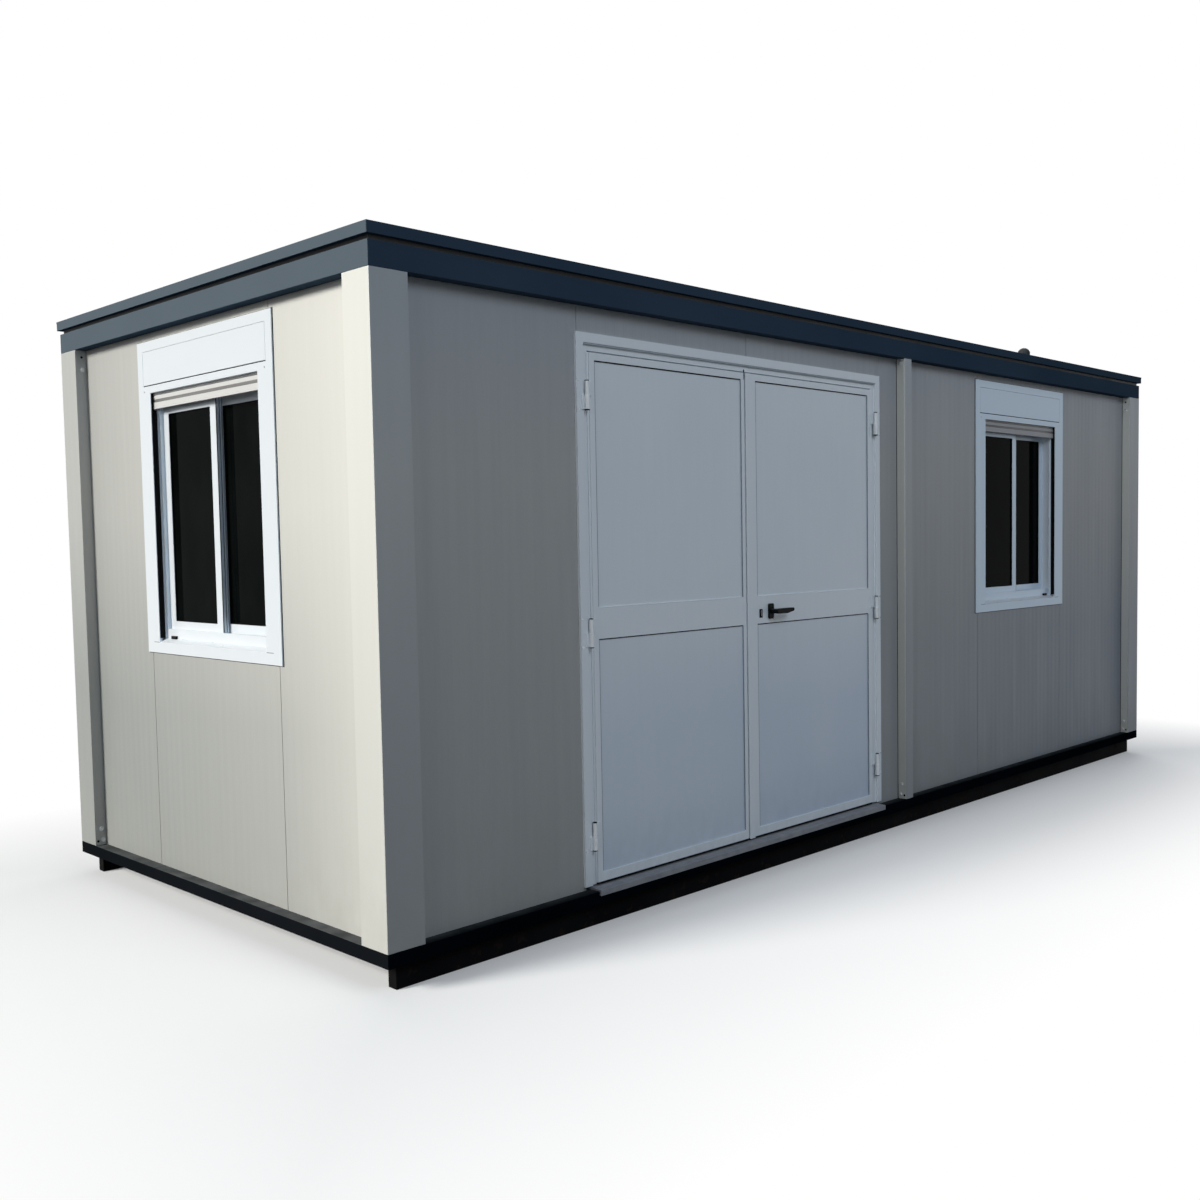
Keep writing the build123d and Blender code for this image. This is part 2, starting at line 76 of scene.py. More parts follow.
walls = {
    "front": Wall((1, 0, 0), (0, -1, 0), -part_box("front_wall_panels")[0].y),
    "rear": Wall((-1, 0, 0), (0, 1, 0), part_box("rear_wall_panels")[1].y),
    "left": Wall((0, -1, 0), (-1, 0, 0), -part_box("left_wall_panels")[0].x),
    "right": Wall((0, 1, 0), (1, 0, 0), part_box("right_wall_panels")[1].x),
}
floor_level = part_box("front_wall_panels")[0].z
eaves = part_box("front_wall_panels")[1].z
print("walls from", round(floor_level, 3), "to", round(eaves, 3), "m above the ground")

# %% [markdown]
# ## Writing shader sums as Python
# A paint that varies is a sum of patterns: clouds, streaks, dust low on the wall. Wired by hand,
# each plus and times is a Math node. A small class can hold a socket and turn every sum written
# with it into those nodes, so that the recipe of a finish reads like the formula it is. Every node
# comes from one function, which fills in its settings and sockets.


# %% A socket that does sums
def plug(tree, value, socket):
    """Feed a socket from a wire, or write a plain value on it."""
    if isinstance(value, Wire):
        tree.links.new(value.socket, socket)
    else:
        socket.default_value = value


def new_node(tree, kind, sockets=None, out=0, **settings):
    """Any node: its settings first, then the values or wires of its sockets. Gives one output."""
    node = tree.nodes.new("ShaderNode" + kind)
    for name, value in settings.items():
        setattr(node, name, value)
    for name, value in (sockets or {}).items():
        plug(tree, value, node.inputs[name])
    return Wire(tree, node.outputs[out])


class Wire:
    """One value in a tree of nodes. A sum written with it adds its Math nodes."""

    def __init__(self, tree, socket):
        self.tree, self.socket = tree, socket

    def sum(self, operation, first, second):
        return new_node(self.tree, "Math", {0: first, 1: second}, operation=operation)

    def __add__(self, other):
        return self.sum("ADD", self, other)

    def __radd__(self, other):
        return self.sum("ADD", other, self)

    def __sub__(self, other):
        return self.sum("SUBTRACT", self, other)

    def __rsub__(self, other):
        return self.sum("SUBTRACT", other, self)

    def __mul__(self, other):
        return self.sum("MULTIPLY", self, other)

    def __rmul__(self, other):
        return self.sum("MULTIPLY", other, self)

    def __mod__(self, other):
        return self.sum("FLOORED_MODULO", self, other)


print("sums work with + - * and %")

# %% [markdown]
# ## One class for every finish
# Real sheet metal and plastic never have one flat colour, but their changes are small: a cloudy
# fading, streaks where rain runs down, dust on ledges, and a paint skin that isn't quite level. The
# class below makes the shader once and offers those patterns by name. All of them read Object
# coordinates, which are metres here, so a size in a recipe is a real size.


# %% The finish class
class Finish:
    """A material, and the patterns that most finishes share."""

    def __init__(self, name, constants):
        self.material = bpy.data.materials.new(name)
        self.material.use_nodes = True
        self.tree = self.material.node_tree
        self.shader = self.tree.nodes["Principled BSDF"]
        for socket, value in constants.items():
            self.shader.inputs[socket].default_value = value
        self.place = self.node("TexCoord", out="Object")

    def node(self, *recipe, **settings):
        return new_node(self.tree, *recipe, **settings)

    def axis(self, letter):
        return self.node("SeparateXYZ", {"Vector": self.place}, letter)

    def clouds(self, size, stretch=(1, 1, 1), detail=3.0, seed=0.0):
        """Soft patches from 0 to 1, about size metres across; stretch lengthens them."""
        scale = [1 / (size * length) for length in stretch]
        at = self.node("Mapping", {"Vector": self.place, "Location": (seed,) * 3, "Scale": scale})
        noise = self.node("TexNoise", {"Vector": at, "Scale": 1.0, "Detail": detail})
        return self.between(noise, 0.3, 0.7)

    def between(self, value, low, high):
        """0 at low, 1 at high, and straight between them."""
        return self.node("MapRange", {"Value": value, "From Min": low, "From Max": high})

    def mix(self, share, first, second):
        colours = [value if isinstance(value, Wire) else (*value, 1) for value in (first, second)]
        return self.node("Mix", {0: share, 6: colours[0], 7: colours[1]}, 2, data_type="RGBA")

    def facing(self, letter, start=-0.5, full=-0.9):
        """1 on faces that look back along X, the sunny window end, or Y, the door side; else 0."""
        normal = self.node("NewGeometry", out="Normal")
        return self.between(self.node("SeparateXYZ", {"Vector": normal}, letter), start, full)

    def facing_up(self):
        """1 on ledges, 0 on walls."""
        return self.facing("Z", 0.5, 0.9)

    def door_side_shade(self, least, clear_above, full_below):
        """Painted shade on the door side: none high up, most low down, and thicker towards the far end."""
        across = self.between(self.axis("X"), -1.5, 2.0)
        return self.facing("Y") * (least + (1 - least) * across) * self.between(self.axis("Z"), clear_above, full_below)

    def surface(self, colour, roughness, bumps=None, depth=0.0005, strength=0.3):
        """Join the recipe to the shader. depth is the height of the bumps in metres."""
        plug(self.tree, colour, self.shader.inputs["Base Color"])
        plug(self.tree, roughness, self.shader.inputs["Roughness"])
        if bumps is not None:
            normal = self.node("Bump", {"Height": bumps, "Distance": depth, "Strength": strength})
            plug(self.tree, normal, self.shader.inputs["Normal"])
        return self.material


finishes = {}


def made(*names):
    print("made", [finishes[name].name for name in names])


# %% [markdown]
# ## The walls' paint
# The panels are coil-coated steel in a greyish white. The coating is even, so its clouds are wide
# and faint. Rain leaves narrow upright streaks. The coating is greyer low down, and the foot of the
# wall carries a little splashed dust. The sunny window end is painted paler, as painted light, except
# low down and towards its back corner, where it is painted darker, as painted shade. The door side
# is painted a blue-grey shade, mostly low down and towards the far end, and a little under the
# eaves.


# %% Coated steel of the panels and posts
def coated_steel(name, pale, grey, gloss, least_shade):
    steel = Finish(name, {"IOR": 1.45, "Specular IOR Level": 0.35})
    fading = steel.clouds(0.8, (1, 1, 1.4), 2)
    streaks = steel.clouds(0.035, (1, 1, 24), 2, 3.0)
    height, depth = steel.axis("Z"), steel.axis("Y")
    sunny, shaded = steel.facing("X"), steel.between(depth, -1.0, 1.1)
    # darker low down on every wall, and painted shade low down and towards the back corner of the sunny end
    grime_and_shade = 0.28 * steel.between(height, 2.2, 0.3) + 0.46 * sunny * shaded
    grime_and_shade = grime_and_shade + 0.38 * sunny * steel.between(height, 1.6, 0.8) * steel.between(depth, -1.3, -0.5)
    splash = steel.between(height, floor_level + 0.42, floor_level)
    splash = splash * steel.clouds(0.11, (1, 1, 1.3), 4, 7.0)
    tone = steel.mix(0.55 * fading + 0.45 * streaks, pale, grey)
    # painted light: the sunny end is painted paler, most towards its front corner
    tone = steel.mix(0.50 * sunny * (1 - shaded), tone, (0.93, 0.92, 0.84))
    tone = steel.mix(grime_and_shade, tone, (0.30, 0.31, 0.295))
    # painted shade: the blue-grey shade of the door side, most low down and towards the far end
    tone = steel.mix(steel.door_side_shade(least_shade, 2.5, 0.9), tone, (0.25, 0.272, 0.308))
    # painted shade: a blue shade on the door side just under the eaves
    tone = steel.mix(0.35 * steel.facing("Y") * steel.between(height, 1.7, 2.3), tone, (0.24, 0.30, 0.40))
    tone = steel.mix(0.28 * splash, tone, (0.36, 0.345, 0.30))
    skin = steel.clouds(0.006, detail=1.0)
    return steel.surface(tone, gloss + 0.10 * streaks + 0.12 * splash, skin, 0.0002, 0.2)


finishes["panel_white"] = coated_steel(
    "panel paint", pale=(0.55, 0.54, 0.51), grey=(0.51, 0.50, 0.478), gloss=0.42, least_shade=0.15
)
# the posts get more of the painted door-side shade than the panels
finishes["post_white"] = coated_steel(
    "post paint", pale=(0.61, 0.61, 0.58), grey=(0.57, 0.57, 0.545), gloss=0.36, least_shade=0.30
)
made("panel_white", "post_white")

# %% [markdown]
# ## Anthracite frame
# The top and base beams share a dark blue-grey paint, painted paler on the sunny end as painted
# light. It shows dust far more than white does, so upward faces go paler, except at the front, where
# the ledge is kept dark as painted shade. The base beams stand in splash and shade: their paint is
# dark, and painted shade makes it nearly black.


# %% Anthracite paint
def anthracite_paint():
    paint = Finish("anthracite paint", {"IOR": 1.45, "Specular IOR Level": 0.0})
    low_down = paint.between(paint.axis("Z"), floor_level + 0.12, floor_level + 0.02)
    patches = paint.clouds(0.5, (1, 1, 0.6), 3)
    fascia = paint.mix(patches, (0.041, 0.066, 0.103), (0.050, 0.078, 0.116))
    # painted light: faces towards the sunny end are painted paler
    fascia = paint.mix(0.30 * paint.facing("X"), fascia, (0.24, 0.27, 0.27))
    # painted shade: the base beams are painted nearly black, a little paler on the sunny end as painted
    # light
    foot = paint.mix(patches, (0.002, 0.003, 0.005), (0.004, 0.005, 0.008))
    foot = paint.mix(0.04 * paint.facing("X"), foot, (0.12, 0.13, 0.13))
    tone = paint.mix(low_down, fascia, foot)
    # painted shade: the front ledge keeps the dark paint, without the paler dust
    behind_shaded_front = paint.between(paint.axis("Y"), -1.20, -1.10)
    dust = paint.facing_up() * behind_shaded_front * (0.35 + 0.35 * paint.clouds(0.09, detail=4.0, seed=5.0))
    tone = paint.mix(dust, tone, (0.17, 0.18, 0.18))
    skin = paint.clouds(0.007, detail=1.0)
    return paint.surface(tone, 0.40 + 0.3 * dust + 0.08 * patches, skin, 0.0002, 0.2)


def skid_paint():
    paint = Finish("worn skid paint", {"IOR": 1.45, "Specular IOR Level": 0.01})
    chips = paint.between(paint.clouds(0.045, detail=5.0), 0.72, 0.86)
    low_down = paint.between(paint.axis("Z"), 0.09, 0.0)
    tone = paint.mix(paint.clouds(0.3), (0.006, 0.006, 0.007), (0.011, 0.011, 0.011))
    tone = paint.mix(chips * (0.3 + 0.5 * low_down), tone, (0.028, 0.019, 0.014))
    return paint.surface(tone, 0.62 + 0.2 * chips, chips, 0.0006, 0.5)


finishes["anthracite"] = anthracite_paint()
finishes["skid_steel"] = skid_paint()
made("anthracite", "skid_steel")

# %% [markdown]
# ## Door paint
# The door's tubes and sheets were painted with a roller, in a cooler white than the walls. A roller
# leaves a fine orange-peel skin, and the sheets pick up grime along their lower edge. The sheets also
# get the walls' painted blue-grey shade of the door side. Frame and sheets share the recipe with
# slightly different whites.


# %% Rolled door paint
def rolled_paint(name, pale, grey, grime_reach, smudge_and_shade):
    paint = Finish(name, {"IOR": 1.5, "Specular IOR Level": 0.8})
    patches = paint.clouds(0.35, (1, 1, 1.6), 3)
    runs = paint.clouds(0.02, (1, 1, 20), 2, 4.0)
    low_down = paint.between(paint.axis("Z"), floor_level + grime_reach, floor_level + 0.02)
    grime_and_shade = low_down * paint.clouds(0.05, (1, 1, 1.8), 5, 2.0)
    tone = paint.mix(0.6 * patches + 0.4 * runs, pale, grey)
    tone = paint.mix(0.18 * grime_and_shade, tone, (0.34, 0.33, 0.30))
    # painted shade: the door side's blue-grey shade, on the sheets only
    tone = paint.mix(smudge_and_shade * paint.door_side_shade(0.35, 1.25, 0.7), tone, (0.42, 0.53, 0.71))
    peel = paint.clouds(0.0045, detail=2.0)
    return paint.surface(tone, 0.30 + 0.12 * patches + 0.2 * grime_and_shade, peel, 0.0003, 0.25)


finishes["door_white"] = rolled_paint(
    "door frame paint", pale=(0.88, 0.93, 0.965), grey=(0.85, 0.90, 0.94), grime_reach=0.10, smudge_and_shade=0.0
)
finishes["infill_white"] = rolled_paint(
    "door sheet paint", pale=(0.84, 0.90, 0.945), grey=(0.80, 0.865, 0.915), grime_reach=0.30, smudge_and_shade=1.0
)
made("door_white", "infill_white")

# %% [markdown]
# ## Window plastic, slats and glass
# The windows are smooth white PVC, glossier than any paint here. Its gloss has a painted blue tint,
# and on the door side it is painted bluer: both are a painted reflection of a blue sky. The roller
# slats are a warm grey plastic with a faint embossed grain along their length; on the sunny end they
# are painted much paler, as painted light. The glass is dark because the room behind it is: a nearly
# black pane that lets a little through looks right from both sides. Its near-black is painted shade.


# %% Window finishes
def window_plastic():
    # painted reflection: a blue tint on the gloss, as of a blue sky
    painted_sky_tint = (0.6, 0.85, 1, 1)
    plastic = Finish("window PVC", {"IOR": 1.5, "Specular IOR Level": 0.8, "Specular Tint": painted_sky_tint})
    patches = plastic.clouds(0.25, detail=2.0)
    dust = plastic.facing_up() * plastic.clouds(0.03, detail=4.0, seed=6.0)
    tone = plastic.mix(patches, (0.74, 0.77, 0.80), (0.73, 0.76, 0.79))
    # painted reflection: on the door side the PVC is painted bluer, as of a blue sky
    tone = plastic.mix(plastic.facing("Y"), tone, (0.75, 0.85, 0.97))
    tone = plastic.mix(0.04 * dust, tone, (0.5, 0.48, 0.43))
    ripples = plastic.node("TexNoise", {"Vector": plastic.place, "Scale": 5.0, "Detail": 0.0})
    return plastic.surface(tone, 0.26 + 0.2 * dust, ripples, 0.0004, 0.2)


def slat_plastic(name, pale, dark, sunlit_tone):
    plastic = Finish(name, {"IOR": 1.5, "Specular IOR Level": 0.4})
    grain = plastic.clouds(0.004, (20, 20, 1), 2)
    tone = plastic.mix(plastic.clouds(0.2), pale, dark)
    # painted light: on the sunny end the slats are painted much paler
    tone = plastic.mix(0.9 * plastic.facing("X"), tone, sunlit_tone)
    return plastic.surface(tone, 0.42 + 0.1 * grain, grain, 0.0003, 0.3)


def pane_glass():
    glass = Finish("dark glass", {"IOR": 1.45, "Specular IOR Level": 0.01, "Alpha": 0.97})
    smudge_and_shade = glass.clouds(0.15, (1, 1, 2), 4)
    # painted shade: the pane is painted nearly black, for the dark room behind it
    tone = glass.mix(smudge_and_shade, (0.0015, 0.002, 0.002), (0.004, 0.005, 0.005))
    return glass.surface(tone, 0.03 + 0.05 * smudge_and_shade)


finishes["window_white"] = window_plastic()
finishes["slat_grey"] = slat_plastic(
    "slat plastic", pale=(0.41, 0.40, 0.415), dark=(0.375, 0.37, 0.38), sunlit_tone=(0.67, 0.665, 0.65)
)
# painted shade: a dark tone for the shade in the grooves between the slats
finishes["slat_joint"] = slat_plastic(
    "slat joint", pale=(0.14, 0.135, 0.13), dark=(0.10, 0.10, 0.095), sunlit_tone=(0.18, 0.175, 0.17)
)
finishes["glass"] = pane_glass()
made("window_white", "slat_grey", "slat_joint", "glass")

# %% [markdown]
# ## Bare metal, plastic and boards
# The smaller finishes follow the same plan. Rolled aluminium is scratched along the doorway,
# zinc shows flat crystals, which a Voronoi pattern draws, turned sleeves are scratched upright, and
# the boards have a grain stretched along their length with joints where one sheet meets the next.


# %% Bare metal
def brushed_metal(name, pale, dark, stretch, gloss, metallic):
    metal = Finish(name, {"Metallic": metallic, "Specular IOR Level": 0.08})
    scratches = metal.clouds(0.003, stretch, 2)
    dirt = metal.clouds(0.06, detail=5.0, seed=8.0)
    tone = metal.mix(0.4 * scratches + 0.6 * dirt, pale, dark)
    return metal.surface(tone, gloss + 0.12 * scratches + 0.15 * dirt, scratches, 0.0002, 0.25)


def zinc_coat():
    zinc = Finish("zinc coat", {"Metallic": 0.7})
    crystals = zinc.node("TexVoronoi", {"Vector": zinc.place, "Scale": 90.0}, "Color")
    shade = zinc.node("SeparateColor", {"Color": crystals}, "Red")
    tone = zinc.mix(shade, (0.62, 0.64, 0.66), (0.46, 0.48, 0.50))
    return zinc.surface(tone, 0.42 + 0.16 * shade, zinc.clouds(0.02), 0.0003, 0.2)


finishes["threshold_metal"] = brushed_metal(
    "scratched aluminium", (0.31, 0.32, 0.34), (0.22, 0.23, 0.26), (60, 1, 1), 0.45, 0.25
)
finishes["turned_zinc"] = brushed_metal(
    "turned zinc", (0.72, 0.75, 0.77), (0.63, 0.66, 0.68), (1, 1, 8), 0.42, 0.3
)
finishes["galvanised"] = zinc_coat()
made("threshold_metal", "turned_zinc", "galvanised")


# %% [markdown]
# The remaining plain materials are handles, cowls and vents of dark plastic, and the boards of the
# floor and the ceiling inside. Each is one base tone with soft clouds of a second one; a grain
# stretched along the board could be a picture, but a pattern in the nodes has no end and no seam.

# %% Plastics and boards
def moulded_plastic(name, pale, dark, gloss):
    plastic = Finish(name, {"IOR": 1.45, "Specular IOR Level": 0.05})
    dust = plastic.facing_up() * plastic.clouds(0.02, detail=4.0, seed=5.0)
    tone = plastic.mix(plastic.clouds(0.04), pale, dark)
    tone = plastic.mix(0.4 * dust, tone, (0.16, 0.155, 0.14))
    return plastic.surface(tone, gloss + 0.3 * dust, plastic.clouds(0.0015, detail=2.0), 0.0002, 0.35)


def board(name, pale, dark, grain_stretch, joint, seam_width=0.003):
    wood = Finish(name, {"IOR": 1.45, "Specular IOR Level": 0.3})
    grain = wood.clouds(0.006, grain_stretch, 4)
    tone = wood.mix(0.6 * grain + 0.4 * wood.clouds(0.4), pale, dark)
    across = (wood.axis("X") + 40 * joint) % joint
    seam = across.sum("LESS_THAN", across, seam_width)
    tone = wood.mix(0.7 * seam, tone, (0.10, 0.09, 0.08))
    return wood.surface(tone, 0.5 + 0.15 * grain, grain - seam, 0.0004, 0.3)


finishes["black_plastic"] = moulded_plastic("black plastic", (0.006, 0.006, 0.007), (0.010,) * 3, 0.36)
finishes["dark_plastic"] = moulded_plastic("vent plastic", (0.030, 0.032, 0.036), (0.045, 0.047, 0.050), 0.5)
finishes["floor_board"] = board("floor board", (0.44, 0.34, 0.24), (0.33, 0.25, 0.17), (24, 1, 1), 1.25)
finishes["ceiling_board"] = board("ceiling board", (0.82, 0.82, 0.80), (0.76, 0.76, 0.74), (8, 1, 1), 1.0)
made("black_plastic", "dark_plastic", "floor_board", "ceiling_board")


# %% [markdown]
# Rain leaves dull pools and specks on a roof, so its coat changes where it faces up. Every face that
# doesn't look up, such as an edge in the groove under the rim, is painted near black as painted
# shade. Seals and the sealant reuse the plastic's recipe, only duller.

# %% Roof sheet and rubber
def roof_coat():
    coat = Finish("roof coat", {"IOR": 1.45, "Specular IOR Level": 0.35})
    pools = coat.clouds(0.35, detail=4.0)
    specks = coat.between(coat.clouds(0.03, detail=5.0, seed=9.0), 0.6, 0.9)
    tone = coat.mix(pools, (0.52, 0.53, 0.52), (0.42, 0.43, 0.415))
    tone = coat.mix(0.2 * specks, tone, (0.25, 0.24, 0.20))
    # painted shade: faces that don't look up are painted near black
    tone = coat.mix(coat.facing_up(), (0.010, 0.011, 0.013), tone)
    return coat.surface(tone, 0.45 + 0.2 * pools, coat.clouds(0.01), 0.0003, 0.2)


finishes["roof_sheet"] = roof_coat()
finishes["rubber"] = moulded_plastic("seal rubber", (0.005, 0.005, 0.006), (0.009, 0.009, 0.010), 0.62)
finishes["grey_rubber"] = moulded_plastic("grey seal rubber", (0.56, 0.60, 0.64), (0.50, 0.54, 0.58), 0.6)
finishes["sealant"] = moulded_plastic("door sealant", (0.30, 0.34, 0.39), (0.25, 0.29, 0.34), 0.6)
made("roof_sheet", "rubber", "grey_rubber", "sealant")

# %% [markdown]
# Five of these finishes are for added pieces only; the record has no slots for them.

# %% [markdown]
# ## Dressing the CAD parts
# The record says which finish each part has. Its parts stay where they are and keep their meshes;
# only what hangs on them changes: the material in each slot and, on the folded and welded metal,
# a fine bevel. A bevel needs joined faces, and these meshes are loose triangles, so a Weld
# modifier comes first. No real edge is perfectly sharp, and a rounded one catches the light.

# %% Finishes and soft edges for the CAD parts
edge_radius = {"window_white": 0.0012, "door_white": 0.0015, "post_white": 0.0015, "anthracite": 0.002}
edge_radius.update({"skid_steel": 0.002, "threshold_metal": 0.001, "slat_grey": 0.001})
for part in frame["record"]["subparts"]:
    node, slot = frame["nodes"][part["node"]], part["material_slot"]
    for holder in node.material_slots:
        holder.material = finishes[slot]
    if slot in edge_radius:
        weld = node.modifiers.new("joined faces", "WELD")
        weld.merge_threshold = 0.00002
        bevel = node.modifiers.new("soft edges", "BEVEL")
        bevel.width, bevel.segments = edge_radius[slot], 2
        bevel.limit_method, bevel.angle_limit = "ANGLE", math.radians(40)

# %% [markdown]
# ## Working as by hand, from code
# The pieces are modelled with the same operators as the menus use. Three habits make that safe in
# a script: deselect everything first, as an operator acts on all that is selected; pick faces by
# where they are or which way they face; and apply size and place, so that every finished object
# sits at the origin like the CAD parts.


# %% Modelling helpers
def only(*pieces):
    """Select these pieces and nothing else."""
    bpy.ops.object.select_all(action="DESELECT")
    for piece in pieces:
        piece.select_set(True)
    bpy.context.view_layer.objects.active = pieces[0]


def pick(kind, wanted):
    """In edit mode, select the VERT, EDGE or FACE items whose middle and normal pass the test."""
    bpy.ops.mesh.select_mode(type=kind)
    bpy.ops.mesh.select_all(action="DESELECT")
    piece = bpy.context.active_object
    mesh = bmesh.from_edit_mesh(piece.data)
    items = {"VERT": mesh.verts, "EDGE": mesh.edges, "FACE": mesh.faces}[kind]
    for item in items:
        corners = [item.co] if kind == "VERT" else [corner.co for corner in item.verts]
        middle = sum(corners, Vector()) / len(corners)
        normal = item.normal if kind != "EDGE" else (corners[1] - corners[0]).normalized()
        if wanted(middle, normal):
            item.select_set(True)
    bmesh.update_edit_mesh(piece.data)


def shaped(steps):
    """Run the steps in edit mode on the active piece."""
    bpy.ops.object.mode_set(mode="EDIT")
    steps()
    bpy.ops.object.mode_set(mode="OBJECT")


def modified(piece, kind, **settings):
    """Add a modifier and apply it."""
    only(piece)
    modifier = piece.modifiers.new(kind.lower(), kind)
    for name, value in settings.items():
        setattr(modifier, name, value)
    bpy.ops.object.modifier_apply(modifier=modifier.name)


def settled(name):
    """Name the piece just added, and apply its size and place."""
    piece = bpy.context.active_object
    piece.name = name
    bpy.ops.object.transform_apply(location=True, rotation=True, scale=True)
    return piece


def block(name, wall, along, up, out):
    """A cube added at its size and place on a wall; along, up and out are pairs of limits."""
    low, high = wall.point(along[0], up[0], out[0]), wall.point(along[1], up[1], out[1])
    sides = [abs(side) for side in high - low]
    bpy.ops.object.select_all(action="DESELECT")
    bpy.ops.mesh.primitive_cube_add(size=1, location=(low + high) / 2, scale=sides)
    return settled(name)


def finished(piece, finish, body="cabin", smooth=30):
    """Give a piece its finish, its shading and the body that it rides on."""
    only(piece)
    bpy.ops.object.shade_smooth_by_angle(angle=math.radians(smooth))
    piece.data.materials.clear()
    piece.data.materials.append(finishes[finish])
    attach(piece, body)
    print(piece.name, len(piece.data.polygons), "faces, on", body)
    return piece


def copies(master, name, places, finish, body="cabin"):
    """Copies of a master, each with its own mesh, put in place, joined and finished."""
    placed = []
    for place in places:
        copy = bpy.data.objects.new(name, masters[master].data.copy())
        bpy.context.collection.objects.link(copy)
        copy.data.transform(place)
        placed.append(copy)
    only(*placed)
    if len(placed) > 1:
        bpy.ops.object.join()
    placed[0].name = name
    return finished(placed[0], finish, body)


def levels(node, axis):
    """The different coordinates of a CAD part's corners along one axis, from low to high."""
    found = []
    for value in sorted(corner.co[axis] for corner in frame["nodes"][node].data.vertices):
        if not found or value - found[-1] > 0.0005:
            found.append(value)
    return found


def strip(name, wall, along, up, out, radius, finish, body="cabin"):
    """A block with rounded edges, finished."""
    piece = block(name, wall, along, up, out)
    modified(piece, "BEVEL", width=radius, segments=2, limit_method="NONE")
    return finished(piece, finish, body)


def about(middle, reach):
    """Limits that reach equally far to both sides of a middle."""
    return middle - reach, middle + reach


def beside(middle, side, near, far):
    """Limits on one side of a middle: -1 is its left, 1 its right."""
    return sorted((middle + side * near, middle + side * far))


# %% [markdown]
# ## Ribbed wall sheets
# Each panel's steel skin is rolled with shallow flat ribs, 50 mm apart and under a millimetre deep,
# which keep the thin sheet from looking wavy. A bump would vanish at the edge. A grid with four
# columns a rib is cheap and true: three of every four upright lines slide sideways to narrow the
# slopes, and two of them move outwards to raise the crest. Solidify then gives the sheet its
# thickness.


# %% The rib tool
def ribbed_sheet(name, corner, across, along, rib, thickness):
    """A sheet from its corner. rib is (pitch, slope, crest, height); ribs repeat across and run along."""
    pitch, slope, crest, height = rib
    across, along = Vector(across), Vector(along)
    side = across.normalized()
    outwards = side.cross(along.normalized())
    ribs = max(1, round(across.length / pitch))
    column = across.length / (4 * ribs)
    turn = Matrix((side, along.normalized(), outwards)).transposed()
    bpy.ops.object.select_all(action="DESELECT")
    bpy.ops.mesh.primitive_grid_add(
        x_subdivisions=4 * ribs, y_subdivisions=1, size=1,
        location=Vector(corner) + (across + along) / 2, rotation=turn.to_euler(),
    )
    bpy.context.active_object.scale = (across.length, along.length, 1)
    sheet = settled(name)

    def move(orders, shift):
        """Move some of the upright lines; their order runs from 0 to 3 within each rib."""
        steps = sorted({round(corner.co.dot(side), 5) for corner in sheet.data.vertices})
        lines = [line for order, line in enumerate(steps) if order % 4 in orders]

        def slide():
            pick("VERT", lambda place, normal: any(abs(place.dot(side) - line) < 0.00002 for line in lines))
            bpy.ops.transform.translate(value=shift)

        shaped(slide)

    for order, goal in ((1, slope), (2, slope + crest), (3, 2 * slope + crest)):
        move((order,), side * (goal - order * column))
    move((1, 2), outwards * height)
    modified(sheet, "SOLIDIFY", thickness=thickness, offset=-1.0)
    return sheet


# %% [markdown]
# The sheets stop a hair short of the posts, the door's flange and the window covers, as the real
# ones are hidden behind them, and leave a thin groove at each joint between panels.

# %% Sheets on all four walls
wall_rib = (0.050, 0.003, 0.022, 0.0004)
sheet_thickness = 0.0008
joint_half, hair = 0.0018, 0.0005
post_inner, end_inner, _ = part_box("corner_post_front_left")[1]
door_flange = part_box("door_frame")
window_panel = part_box("front_window_panel")[0].x - 0.001
panel_joints = [window_panel + step for step in (-3.0, -2.0, -1.0, 0.0, 1.0)]
end_joints = [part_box("left_window_panel")[0].y - 0.001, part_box("left_window_panel")[1].y + 0.001]
wall_foot, wall_head = floor_level + hair, eaves - hair


def wall_sheets(name, wall, low, high, spans):
    """The sheets of one bay; a span is (ending of the name, foot, head)."""
    for ending, foot, head in spans:
        corner = walls[wall].point(low, foot, sheet_thickness + 0.0001)
        across, along = walls[wall].right * (high - low), Vector((0, 0, head - foot))
        sheet = ribbed_sheet(name + ending, corner, across, along, wall_rib, sheet_thickness)
        finished(sheet, "panel_white", smooth=5)


def bays(edges):
    """The limits of each bay: a hair inside the posts, half a joint inside the other edges."""
    last = len(edges) - 2
    for number, (low, high) in enumerate(zip(edges, edges[1:])):
        yield low + (joint_half if number else hair), high - (joint_half if number < last else hair)


def round_window(cover):
    """The spans below and above a window cover."""
    low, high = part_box(cover)
    return [("_foot", wall_foot, low.z - hair), ("_head", high.z + hair, wall_head)]


whole, over_door = [("", wall_foot, wall_head)], [("", door_flange[1].z + hair, wall_head)]
front_spans = (whole, over_door, over_door, whole, round_window("front_window_cover"), whole)
for number, (low, high) in enumerate(bays([post_inner, *panel_joints, -post_inner]), 1):
    front_low = door_flange[1].x + hair if number == 4 else low
    front_high = door_flange[0].x - hair if number == 1 else high
    wall_sheets(f"front_sheet_{number}", "front", front_low, front_high, front_spans[number - 1])
    wall_sheets(f"rear_sheet_{number}", "rear", -high, -low, whole)

left_spans = (whole, round_window("end_window_cover"), whole)
for number, (low, high) in enumerate(bays([end_inner, *end_joints, -end_inner]), 1):
    wall_sheets(f"right_sheet_{number}", "right", low, high, whole)
    wall_sheets(f"left_sheet_{number}", "left", low, high, left_spans[number - 1])

# %% [markdown]
# ## Bolts and screws
# Fixings repeat more than anything else, so each kind is modelled once, standing on the origin with
# its head up, from a flat cylinder: insets step the head inwards, extrusions give it height. Its
# copies are then turned to face out of whatever they hold.


